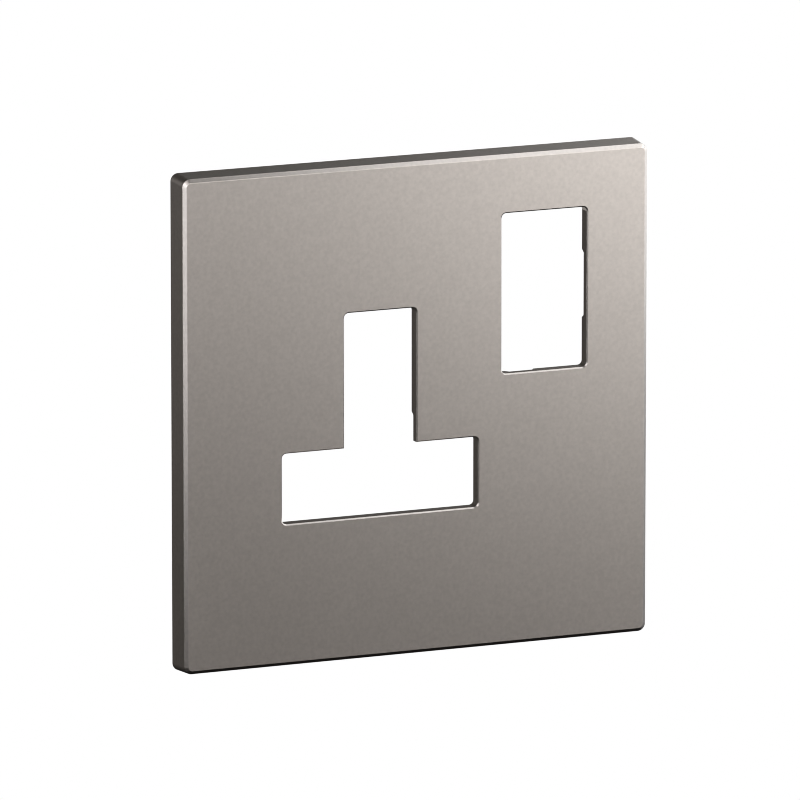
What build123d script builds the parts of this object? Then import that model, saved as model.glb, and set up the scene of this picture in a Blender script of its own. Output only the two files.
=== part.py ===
from build123d import *
import math
import os

# A clip-on cover plate in one piece. Sizes are in millimetres and angles in degrees.
# The plate stands upright: X is to the right, Z is up, the wall is at y = 0 and the front faces -Y.

# The plate itself
plate_size = 88.0  # side of the square outline at the wall
plate_depth = 5.3  # from the wall to the front face
corner_radius = 1.4  # outline corners, the same from the wall to the bevel
side_draft = 3.3  # lean of the four side walls
bevel_width = 0.65  # front bevel, across the face
bevel_depth = 0.5  # front bevel, along the depth
edge_round = 0.12  # softening of the two edges of the bevel
front_wall = 1.5  # thickness behind the face
side_wall = 1.6  # thickness of the side walls
inside_corner_radius = 1.0  # outline corners of the hollow
inside_fillet = 0.5  # where the side walls meet the front wall

# The T-shaped opening for the plug's pins
socket_x = -6.98  # middle of the T
bar_z = -12.26  # middle of the T's bar
bar_width = 36.96
bar_height = 12.55
stem_width = 13.58
stem_height = 23.95  # from the bar's top edge to the stem's top edge

# The opening for the switch's rocker
switch_x = 24.03
switch_z = 19.07
switch_width = 16.17
switch_height = 28.52

# What both openings share
opening_radius = 0.85  # their rounded corners
opening_chamfer = 0.22  # their front edges
rim_width = 1.2  # raised rim around each opening at the back
rim_height = 0.75  # how far the rim stands up from the inside of the front wall

# Gaps in the rims, measured on the inside of the front wall, with sloping ends
gap_slope = 35.0  # lean of those ends from the depth direction
rocker_gap = 11.15  # in both sides of the rocker's opening
rocker_gap_rise = 0.27  # from the middle of that opening up to the middle of the gap
foot_gap = 4.35  # in the rim under the rocker's opening
foot_gap_inset = 2.05  # from that opening's left edge
corner_gap = 4.56  # each way from the two inner corners of the T

# Ledges on the inside of the top and bottom walls that the insert's catches hold
ledge_length = 10.0
ledge_spacing = 48.0  # between the two ledges on one wall
ledge_set = 0.9  # from the wall plane to the lead-in slope
ledge_lead = 1.0  # length of the lead-in slope
ledge_crest = 0.4  # flat on top
ledge_height = 0.6  # how far a ledge stands out
ledge_root = 0.4  # how far a ledge is sunk into the wall

# Slot in the bottom edge for a blade, to take the plate off
pry_width = 9.0
pry_depth = 1.1

# How far a cutting shape runs past what it cuts
overrun = 2.0

lean = math.tan(math.radians(side_draft))
hollow_depth = plate_depth - front_wall
straight_depth = plate_depth - bevel_depth
front_size = plate_size - 2 * lean * straight_depth
hollow_size = plate_size - 2 * side_wall
bevel_angle = math.degrees(math.atan2(bevel_width, bevel_depth))


def upright(depth):
    """The upright plane that lies this far in front of the wall, facing the front."""
    return Plane(origin=(0, -depth, 0), x_dir=(1, 0, 0), z_dir=(0, -1, 0))


def rectangle(depth, x, z, width, height, radius):
    """A rounded rectangle on an upright plane."""
    return upright(depth) * Pos(x, z) * RectangleRounded(width, height, radius)


def t_shape(depth, grow):
    """The outline of the T, made larger all round by grow."""
    radius = opening_radius + grow
    bar = rectangle(depth, socket_x, bar_z, bar_width + 2 * grow, bar_height + 2 * grow, radius)
    top = bar_z + bar_height / 2 + stem_height
    tall = top - bar_z
    stem = rectangle(depth, socket_x, bar_z + tall / 2, stem_width + 2 * grow, tall + 2 * grow, radius)
    return bar + stem


def switch_shape(depth, grow):
    """The outline of the rocker's opening, made larger all round by grow."""
    width = switch_width + 2 * grow
    height = switch_height + 2 * grow
    return rectangle(depth, switch_x, switch_z, width, height, opening_radius + grow)


def make_shell():
    """The front wall with its bevel and the four side walls, open at the back."""
    outline = rectangle(straight_depth, 0, 0, front_size, front_size, corner_radius)
    sides = loft([rectangle(0, 0, 0, plate_size, plate_size, corner_radius), outline], ruled=True)
    bevel = extrude(outline, amount=bevel_depth, taper=bevel_angle)
    block = sides + bevel
    rings = block.edges().group_by(Axis.Y)
    block = fillet(rings[0] + rings[2], edge_round)
    hollow_outline = rectangle(0, 0, 0, hollow_size, hollow_size, inside_corner_radius)
    hollow = extrude(hollow_outline, amount=hollow_depth, taper=side_draft)
    inner_edges = hollow.faces().sort_by(Axis.Y)[0].edges()
    hollow = fillet(inner_edges, inside_fillet)
    return block - hollow


def make_rim(shape, gaps):
    """A raised rim behind an opening, with the gaps taken out of it."""
    rim = extrude(shape(hollow_depth, rim_width), amount=-rim_height)
    for x, z, width, height in gaps:
        gap = upright(hollow_depth) * Pos(x, z) * Rectangle(width, height)
        rim = rim - extrude(gap, amount=-rim_height, taper=-gap_slope)
    return rim


def make_opening(shape):
    """The cutting shape for an opening, which widens at the front face."""
    hole = extrude(shape(plate_depth + overrun, 0), amount=-plate_depth - 2 * overrun)
    flare = extrude(shape(plate_depth - opening_chamfer, 0), amount=opening_chamfer, taper=-45)
    return hole + flare


def make_ledge(x, way):
    """A ledge on the top wall (way = 1) or the bottom wall (way = -1)."""
    start = ledge_set
    crest = start + ledge_lead
    end = crest + ledge_crest
    foot = end + ledge_height
    wall_start = hollow_size / 2 - lean * start
    wall_foot = hollow_size / 2 - lean * foot
    points = [
        (-start, way * wall_start),
        (-crest, way * (wall_start - ledge_height)),
        (-end, way * (wall_start - ledge_height)),
        (-foot, way * wall_foot),
        (-foot, way * (wall_start + ledge_root)),
        (-start, way * (wall_start + ledge_root)),
    ]
    side = Plane(origin=(x - ledge_length / 2, 0, 0), x_dir=(0, 1, 0), z_dir=(1, 0, 0))
    return extrude(side * make_face(Polyline(*points, close=True)), amount=ledge_length)


def socket_gaps():
    """Gaps at the two inner corners of the T."""
    wide = rim_width + overrun
    size = corner_gap + wide
    z = bar_z + bar_height / 2 + (corner_gap - wide) / 2
    offset = stem_width / 2 + (corner_gap - wide) / 2
    return [(socket_x - offset, z, size, size), (socket_x + offset, z, size, size)]


def switch_gaps():
    """Gaps in both sides of the rocker's opening, and one under it."""
    wide = rim_width + overrun
    side = switch_width / 2 + rim_width / 2
    side_z = switch_z + rocker_gap_rise
    foot_x = switch_x - switch_width / 2 + foot_gap_inset + foot_gap / 2
    foot_z = switch_z - switch_height / 2 - rim_width / 2
    return [
        (switch_x - side, side_z, wide, rocker_gap),
        (switch_x + side, side_z, wide, rocker_gap),
        (foot_x, foot_z, foot_gap, wide),
    ]


plate = make_shell()
plate = plate + make_rim(t_shape, socket_gaps())
plate = plate + make_rim(switch_shape, switch_gaps())
plate = plate - make_opening(t_shape)
plate = plate - make_opening(switch_shape)
for way in (1, -1):
    for x in (-ledge_spacing / 2, ledge_spacing / 2):
        plate = plate + make_ledge(x, way)

pry_height = side_wall + 2 * overrun
pry_z = (side_wall - plate_size) / 2
plate = plate - Pos(0, (overrun - pry_depth) / 2, pry_z) * Box(pry_width, pry_depth + overrun, pry_height)

os.makedirs("parts", exist_ok=True)
export_step(plate, "parts/cover_plate.step")
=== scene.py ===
import math
import bpy
from mathutils import Matrix, Vector


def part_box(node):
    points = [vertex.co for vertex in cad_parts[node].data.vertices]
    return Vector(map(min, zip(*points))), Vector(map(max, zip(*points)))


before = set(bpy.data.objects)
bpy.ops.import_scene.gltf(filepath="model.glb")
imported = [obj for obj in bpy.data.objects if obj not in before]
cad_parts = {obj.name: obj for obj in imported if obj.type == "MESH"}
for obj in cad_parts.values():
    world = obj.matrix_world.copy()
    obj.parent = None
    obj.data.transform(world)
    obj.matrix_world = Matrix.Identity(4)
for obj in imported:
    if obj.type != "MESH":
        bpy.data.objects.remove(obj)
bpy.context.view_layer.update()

mm = 0.001

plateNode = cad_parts["cover_plate"]
plateLow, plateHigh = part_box("cover_plate")
faceCentre = Vector(((plateLow.x + plateHigh.x) / 2, plateLow.y, (plateLow.z + plateHigh.z) / 2))


def heading(azimuth, elevation):
    # unit vector from the plate towards a viewer; azimuth 0 is straight in front, 90 is to the right
    a, e = math.radians(azimuth), math.radians(elevation)
    return Vector((math.sin(a) * math.cos(e), -math.cos(a) * math.cos(e), math.sin(e)))


def sideAndUp(back, azimuth):
    a = math.radians(azimuth)
    side = Vector((math.cos(a), math.sin(a), 0.0))
    return side, back.cross(side)


def aimed(obj, place, side, up, back):
    # local X, Y and Z become side, up and back
    turn = Matrix((side, up, back)).transposed().to_4x4()
    obj.matrix_world = Matrix.Translation(place) @ turn


# node helpers

def newNode(tree, kind, where, **settings):
    node = tree.nodes.new(kind)
    node.location = where
    for name, value in settings.items():
        setattr(node, name, value)
    return node


def setInputs(node, **values):
    for name, value in values.items():
        node.inputs[name.replace("_", " ")].default_value = value
    return node


def newGroup(name, inputs, outputs):
    tree = bpy.data.node_groups.new(name, "ShaderNodeTree")
    for label, kind, value in inputs:
        socket = tree.interface.new_socket(label, in_out="INPUT", socket_type=kind)
        if value is not None:
            socket.default_value = value
    for label, kind in outputs:
        tree.interface.new_socket(label, in_out="OUTPUT", socket_type=kind)
    start = newNode(tree, "NodeGroupInput", (-900, 0))
    end = newNode(tree, "NodeGroupOutput", (700, 0))
    return tree, start, end


def mathNode(tree, operation, where, first=None, second=None, third=None):
    node = newNode(tree, "ShaderNodeMath", where, operation=operation)
    for index, source in enumerate((first, second, third)):
        if source is None:
            continue
        if isinstance(source, (int, float)):
            node.inputs[index].default_value = source
        else:
            tree.links.new(source, node.inputs[index])
    return node.outputs[0]


def ramped(tree, where, value, low, high):
    # smooth 0 to 1 step of a value between low and high
    node = newNode(tree, "ShaderNodeMapRange", where, interpolation_type="SMOOTHSTEP")
    tree.links.new(value, node.inputs["Value"])
    setInputs(node, From_Min=low, From_Max=high, To_Min=0.0, To_Max=1.0)
    return node.outputs["Result"]


grainMix = {
    "finerBy": 2.7,            # the pits are this many times smaller than the grain
    "pitShare": 0.5,           # their height beside the grain's
}


def makeFineGrain(mix):
    # two sizes of even grain, as a blasted and plated metal face has
    tree, start, end = newGroup(
        "fineGrain",
        [("Position", "NodeSocketVector", None), ("Grain Size", "NodeSocketFloat", 0.4 * mm)],
        [("Fleck", "NodeSocketFloat"), ("Height", "NodeSocketFloat")],
    )
    scale = mathNode(tree, "DIVIDE", (-700, -200), 1.0, start.outputs["Grain Size"])
    grain = newNode(tree, "ShaderNodeTexNoise", (-500, 100))
    setInputs(grain, Detail=1.0, Roughness=0.4)
    tree.links.new(start.outputs["Position"], grain.inputs["Vector"])
    tree.links.new(scale, grain.inputs["Scale"])
    finer = mathNode(tree, "MULTIPLY", (-500, -250), scale, mix["finerBy"])
    pits = newNode(tree, "ShaderNodeTexNoise", (-300, -200))
    setInputs(pits, Detail=1.0, Roughness=0.5)
    tree.links.new(start.outputs["Position"], pits.inputs["Vector"])
    tree.links.new(finer, pits.inputs["Scale"])
    share = mix["pitShare"]
    both = mathNode(tree, "MULTIPLY_ADD", (-50, 0), pits.outputs["Fac"], share, grain.outputs["Fac"])
    height = mathNode(tree, "DIVIDE", (150, -100), both, 1 + share)
    tree.links.new(grain.outputs["Fac"], end.inputs["Fleck"])
    tree.links.new(height, end.inputs["Height"])
    return tree


def makeCloudiness():
    # slow drift in the finish, over a few centimetres
    tree, start, end = newGroup(
        "cloudiness",
        [("Position", "NodeSocketVector", None), ("Patch Size", "NodeSocketFloat", 20 * mm)],
        [("Drift", "NodeSocketFloat")],
    )
    scale = mathNode(tree, "DIVIDE", (-600, -150), 1.0, start.outputs["Patch Size"])
    cloud = newNode(tree, "ShaderNodeTexNoise", (-350, 0))
    setInputs(cloud, Detail=3.0, Roughness=0.45)
    tree.links.new(start.outputs["Position"], cloud.inputs["Vector"])
    tree.links.new(scale, cloud.inputs["Scale"])
    drift = mathNode(tree, "SUBTRACT", (0, 0), cloud.outputs["Fac"], 0.5)
    tree.links.new(drift, end.inputs["Drift"])
    return tree


hiddenEdge = {
    "normal": (0.15, 0.5),     # how far a normal points to the wall, from seen to hidden
    "fade": 2 * mm,
}


def makeHiddenSide(edge):
    # 1 on what faces the wall and on the inside of the four side walls, 0 on what is seen in use
    tree, start, end = newGroup(
        "hiddenSide",
        [("Position", "NodeSocketVector", None), ("Normal", "NodeSocketVector", None),
         ("Reach", "NodeSocketFloat", 34 * mm)],
        [("Mask", "NodeSocketFloat")],
    )
    split = newNode(tree, "ShaderNodeSeparateXYZ", (-600, 200))
    tree.links.new(start.outputs["Normal"], split.inputs[0])
    backward = ramped(tree, (-300, 250), split.outputs["Y"], *edge["normal"])
    outward = newNode(tree, "ShaderNodeVectorMath", (-600, -150), operation="DOT_PRODUCT")
    tree.links.new(start.outputs["Position"], outward.inputs[0])
    tree.links.new(start.outputs["Normal"], outward.inputs[1])
    inward = mathNode(tree, "MULTIPLY", (-400, -150), outward.outputs["Value"], -1.0)
    past = mathNode(tree, "SUBTRACT", (-220, -150), inward, start.outputs["Reach"])
    walls = ramped(tree, (0, -150), past, 0.0, edge["fade"])
    mask = mathNode(tree, "MAXIMUM", (300, 50), backward, walls)
    tree.links.new(mask, end.inputs["Mask"])
    return tree


fineGrain = makeFineGrain(grainMix)
cloudiness = makeCloudiness()
hiddenSide = makeHiddenSide(hiddenEdge)
print("node groups: fine grain, cloudiness, hidden side")


# the plate's finish

satinNickel = {
    "colour": (0.549, 0.500, 0.460),
    "fleckShade": 0.105,       # how far the grain darkens and lightens the colour
    "roughness": 0.287,        # kept above 0.275 in every grain, below which renders show dark specks
    "grainRoughness": 0.012,
    "driftRoughness": 0.010,
    "grainSize": 0.62 * mm,
    "grainDepth": 0.0006 * mm,
    "patchSize": 24 * mm,
    "castColour": (0.50, 0.46, 0.425),
    "castRoughness": 0.55,     # the inside is left as it was cast
    "castMetallic": 0.5,
    "castGrainSize": 0.9 * mm,
    "castDepth": 0.03 * mm,
    "hiddenReach": 33.5 * mm,  # walls that face the middle from farther out than this are hidden
}


def placeGroup(tree, group, where, label):
    node = newNode(tree, "ShaderNodeGroup", where, node_tree=group)
    node.label = label
    return node


def makeSatinNickel(look):
    material = bpy.data.materials.new("satinNickel")
    material.use_nodes = True
    tree = material.node_tree
    tree.nodes.clear()
    link = tree.links.new
    output = newNode(tree, "ShaderNodeOutputMaterial", (900, 0))
    metal = newNode(tree, "ShaderNodeBsdfPrincipled", (600, 0))
    link(metal.outputs["BSDF"], output.inputs["Surface"])

    place = newNode(tree, "ShaderNodeTexCoord", (-1400, 200))
    facing = newNode(tree, "ShaderNodeNewGeometry", (-1400, -150))
    hidden = placeGroup(tree, hiddenSide, (-1100, -150), "inside and back")
    hidden.inputs["Reach"].default_value = look["hiddenReach"]
    link(place.outputs["Object"], hidden.inputs["Position"])
    link(facing.outputs["Normal"], hidden.inputs["Normal"])

    grain = placeGroup(tree, fineGrain, (-1100, 350), "satin grain")
    grain.inputs["Grain Size"].default_value = look["grainSize"]
    cast = placeGroup(tree, fineGrain, (-1100, 100), "cast skin")
    cast.inputs["Grain Size"].default_value = look["castGrainSize"]
    drift = placeGroup(tree, cloudiness, (-1100, 600), "slow drift")
    drift.inputs["Patch Size"].default_value = look["patchSize"]
    for node in (grain, cast, drift):
        link(place.outputs["Object"], node.inputs["Position"])

    # colour: a warm grey that the grain darkens and lightens a little
    shades = []
    for key, source in (("colour", grain), ("castColour", cast)):
        swing = look["fleckShade"]
        shade = newNode(tree, "ShaderNodeMix", (-700, 500 - 260 * len(shades)), data_type="RGBA")
        shade.inputs["A"].default_value = (*[c * (1 - swing) for c in look[key]], 1.0)
        shade.inputs["B"].default_value = (*[c * (1 + swing) for c in look[key]], 1.0)
        link(source.outputs["Fleck"], shade.inputs["Factor"])
        shades.append(shade.outputs["Result"])
    colour = newNode(tree, "ShaderNodeMix", (-300, 400), data_type="RGBA")
    link(hidden.outputs["Mask"], colour.inputs["Factor"])
    link(shades[0], colour.inputs["A"])
    link(shades[1], colour.inputs["B"])
    link(colour.outputs["Result"], metal.inputs["Base Color"])

    # roughness: grain and drift on the outside, the dull cast skin inside
    centred = mathNode(tree, "SUBTRACT", (-700, -50), grain.outputs["Fleck"], 0.5)
    fromGrain = look["grainRoughness"]
    fromDrift = look["driftRoughness"]
    grained = mathNode(tree, "MULTIPLY_ADD", (-520, -50), centred, fromGrain, look["roughness"])
    satin = mathNode(tree, "MULTIPLY_ADD", (-340, -50), drift.outputs["Drift"], fromDrift, grained)
    dull = newNode(tree, "ShaderNodeMix", (-100, -50), data_type="FLOAT")
    link(hidden.outputs["Mask"], dull.inputs["Factor"])
    link(satin, dull.inputs["A"])
    dull.inputs["B"].default_value = look["castRoughness"]
    link(dull.outputs["Result"], metal.inputs["Roughness"])

    # the cast skin is dull oxide over the metal
    skin = newNode(tree, "ShaderNodeMix", (-100, 150), data_type="FLOAT")
    link(hidden.outputs["Mask"], skin.inputs["Factor"])
    skin.inputs["A"].default_value = 1.0
    skin.inputs["B"].default_value = look["castMetallic"]
    link(skin.outputs["Result"], metal.inputs["Metallic"])

    # relief: heights in metres, from the grain outside and the cast skin inside
    fine = mathNode(tree, "MULTIPLY", (-520, -300), grain.outputs["Height"], look["grainDepth"])
    coarse = mathNode(tree, "MULTIPLY", (-520, -480), cast.outputs["Height"], look["castDepth"])
    relief = newNode(tree, "ShaderNodeMix", (-100, -350), data_type="FLOAT")
    link(hidden.outputs["Mask"], relief.inputs["Factor"])
    link(fine, relief.inputs["A"])
    link(coarse, relief.inputs["B"])
    bump = newNode(tree, "ShaderNodeBump", (300, -350))
    setInputs(bump, Strength=1.0, Distance=1.0)
    link(relief.outputs["Result"], bump.inputs["Height"])
    link(bump.outputs["Normal"], metal.inputs["Normal"])
    return material


plateNode.data.materials.clear()
plateNode.data.materials.append(makeSatinNickel(satinNickel))
print("finish: satin nickel on the plate")


# floor, sky and lights

studio = {
    "floorDrop": 0.26,         # below the plate's lowest edge
    "floorSide": 12.0,
    "floorColour": (1.0, 1.0, 1.0),
    "backdrop": (1.0, 1.0, 1.0),
    "fillColour": (1.0, 0.955, 0.91),
    "fillGlow": 0.060,
    "fillFade": (-0.62, -0.36),  # heights of a ray's direction, between which the fill comes in
}

# each is turned to the middle of the face; azimuth 0 is straight in front and 90 is to the right
softboxes = {
    # the face's main light, brightest at the upper right
    "frontBox": {
        "azimuth": 41.9, "elevation": 15.5, "distance": 0.61,
        "width": 0.465, "height": 0.59, "glow": 2.29, "tint": (0.99, 1.0, 1.01),
    },
    # the top side and bevel, and the lower edges of the openings
    "topBox": {
        "azimuth": 99.4, "elevation": 52.9, "distance": 0.265,
        "width": 0.42, "height": 0.22, "glow": 1.67, "tint": (0.965, 1.0, 1.035),
    },
    # the upper left corner of the bevel
    "cornerBox": {
        "azimuth": -13.9, "elevation": 22.8, "distance": 0.335,
        "width": 0.29, "height": 0.47, "glow": 1.39, "tint": (1.0, 1.0, 1.02),
    },
    # the left bevel
    "leftStrip": {
        "azimuth": -54.5, "elevation": 19.2, "distance": 0.32,
        "width": 0.030, "height": 0.36, "glow": 5.85, "tint": (0.97, 1.0, 1.045),
    },
    # the right bevel, together with the next one
    "rightStrip": {
        "azimuth": 85.0, "elevation": -1.7, "distance": 0.275,
        "width": 0.050, "height": 0.55, "glow": 1.75, "tint": (0.93, 1.0, 1.09),
    },
    # the right bevel and side, from a little behind
    "rearBox": {
        "azimuth": 108.9, "elevation": 5.2, "distance": 0.446,
        "width": 0.70, "height": 0.225, "glow": 1.50, "tint": (0.955, 1.0, 1.035),
    },
    # the face in views from above
    "lowBox": {
        "azimuth": 0.0, "elevation": -47.0, "distance": 0.30,
        "width": 0.40, "height": 0.15, "glow": 0.36, "tint": (1.0, 1.0, 1.0),
    },
    # the left side, from behind on the left
    "rearLeftBox": {
        "azimuth": 243.4, "elevation": 12.7, "distance": 0.39,
        "width": 0.245, "height": 0.35, "glow": 0.92, "tint": (1.0, 1.0, 1.0),
    },
}


def makeFloor(spec):
    place = (0, 0, plateLow.z - spec["floorDrop"])
    bpy.ops.mesh.primitive_plane_add(size=spec["floorSide"], location=place)
    floor = bpy.context.object
    floor.name = "floor"
    material = bpy.data.materials.new("paleFloor")
    material.use_nodes = True
    surface = material.node_tree.nodes["Principled BSDF"]
    surface.inputs["Base Color"].default_value = (0.0, 0.0, 0.0, 1.0)
    surface.inputs["Specular IOR Level"].default_value = 0.0
    surface.inputs["Emission Color"].default_value = (*spec["floorColour"], 1.0)
    surface.inputs["Emission Strength"].default_value = 1.0
    floor.data.materials.append(material)
    floor.visible_glossy = False   # kept out of the metal, which shows a dark lower edge


def makeSky(spec):
    world = bpy.data.worlds.new("studioSky")
    bpy.context.scene.world = world
    world.use_nodes = True
    tree = world.node_tree
    tree.nodes.clear()
    output = newNode(tree, "ShaderNodeOutputWorld", (600, 0))
    seen = newNode(tree, "ShaderNodeBackground", (100, 150))
    seen.inputs["Color"].default_value = (*spec["backdrop"], 1.0)
    fill = newNode(tree, "ShaderNodeBackground", (100, -100))
    fill.inputs["Color"].default_value = (*spec["fillColour"], 1.0)
    # the fill fades out below the horizon
    ray = newNode(tree, "ShaderNodeNewGeometry", (-700, -100))
    split = newNode(tree, "ShaderNodeSeparateXYZ", (-500, -100))
    tree.links.new(ray.outputs["Position"], split.inputs[0])
    upper = ramped(tree, (-300, -100), split.outputs["Z"], *spec["fillFade"])
    level = mathNode(tree, "MULTIPLY", (-100, -100), upper, spec["fillGlow"])
    tree.links.new(level, fill.inputs["Strength"])
    path = newNode(tree, "ShaderNodeLightPath", (100, 400))
    mixed = newNode(tree, "ShaderNodeMixShader", (350, 0))
    tree.links.new(path.outputs["Is Camera Ray"], mixed.inputs["Fac"])
    tree.links.new(fill.outputs["Background"], mixed.inputs[1])
    tree.links.new(seen.outputs["Background"], mixed.inputs[2])
    tree.links.new(mixed.outputs["Shader"], output.inputs["Surface"])


def makeSoftbox(name, spec):
    light = bpy.data.lights.new(name, "AREA")
    light.shape = "RECTANGLE"
    light.size = spec["width"]
    light.size_y = spec["height"]
    light.energy = math.pi * spec["width"] * spec["height"] * spec["glow"]
    light.color = spec["tint"]
    obj = bpy.data.objects.new(name, light)
    bpy.context.scene.collection.objects.link(obj)
    back = heading(spec["azimuth"], spec["elevation"])
    side, up = sideAndUp(back, spec["azimuth"])
    aimed(obj, faceCentre + back * spec["distance"], side, up, back)
    obj.visible_camera = False


makeFloor(studio)
makeSky(studio)
for name, spec in softboxes.items():
    makeSoftbox(name, spec)
print("studio: floor, sky and", len(softboxes), "softboxes")


# camera

photoView = {
    "azimuth": -22.81,
    "elevation": 12.10,
    "distance": 2.0286,
    "focalPixels": 11659,
    "faceCentreAt": (417.62, 408.53),  # pixel that shows the middle of the face
    "imageSide": 800,
    "sensor": 36.0,
    "clip": (0.05, 50.0),
    "edgeFilter": 1.0,         # in pixels, for edges as crisp as the photograph's
}


def makeCamera(spec):
    data = bpy.data.cameras.new("photoCamera")
    data.sensor_width = spec["sensor"]
    data.lens = spec["focalPixels"] / spec["imageSide"] * spec["sensor"]
    data.clip_start, data.clip_end = spec["clip"]
    cam = bpy.data.objects.new("photoCamera", data)
    bpy.context.scene.collection.objects.link(cam)
    back = heading(spec["azimuth"], spec["elevation"])
    side, up = sideAndUp(back, spec["azimuth"])
    perPixel = spec["distance"] / spec["focalPixels"]
    acrossBy = (spec["faceCentreAt"][0] - spec["imageSide"] / 2) * perPixel
    downBy = (spec["faceCentreAt"][1] - spec["imageSide"] / 2) * perPixel
    place = faceCentre + back * spec["distance"] - side * acrossBy + up * downBy
    aimed(cam, place, side, up, back)
    bpy.context.scene.camera = cam


makeCamera(photoView)
colours = bpy.context.scene.view_settings
colours.view_transform = "Standard"
colours.look = "None"
bpy.context.scene.cycles.filter_width = photoView["edgeFilter"]
print("camera set at the photograph's angle")
